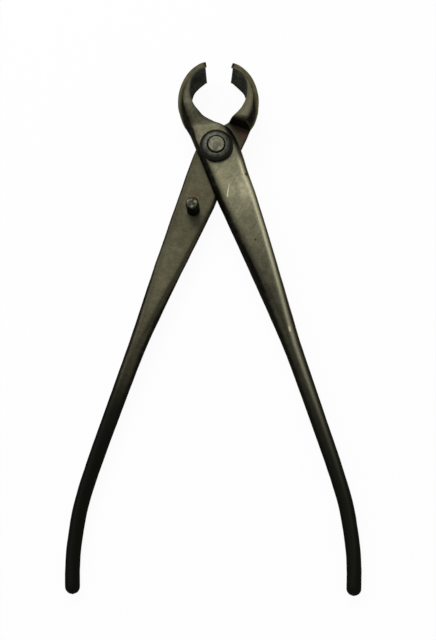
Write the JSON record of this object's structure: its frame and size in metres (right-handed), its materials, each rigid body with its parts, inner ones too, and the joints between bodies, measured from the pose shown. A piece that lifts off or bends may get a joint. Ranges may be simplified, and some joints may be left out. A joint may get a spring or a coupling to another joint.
{
  "type": "knob cutter",
  "caption": "Hand pliers for trimming trees: two crossed forged steel levers on a rivet, with short spoon-shaped concave jaws and long plain handles that bend inward at their ends.",
  "frame": {"origin": "middle of the flat back end of the rivet, on which the tool lies", "axes": "+Z along the rivet towards the side where the front lever lies on top, +Y along the closing line towards the jaws, +X to the right seen from the front"},
  "size_m": [0.1055, 0.2016, 0.0167],
  "materials": {
    "front_lever_steel": "black oxide, ground flat faces with fine diagonal brushing",
    "back_lever_steel": "black oxide, ground flat faces, darker and browner",
    "rivet_steel": "satin, peened end",
    "washer_oxide": "black oxide, satin",
    "pin_oxide": "black oxide, satin, worn top"
  },
  "bodies": {
    "back_body": {"back_lever": "back_lever_steel", "pivot_rivet": "rivet_steel", "front_washer": "washer_oxide", "back_washer": "washer_oxide", "stop_pin": "pin_oxide"},
    "front_body": {"front_lever": "front_lever_steel"}
  },
  "joints": [
    {"name": "rivet_hinge", "type": "hinge", "parent": "back_body", "child": "front_body", "pos_m": [0, 0, 0.00805], "axis": [0, 0, 1], "range_deg": [-17.1, 67]}
  ]
}
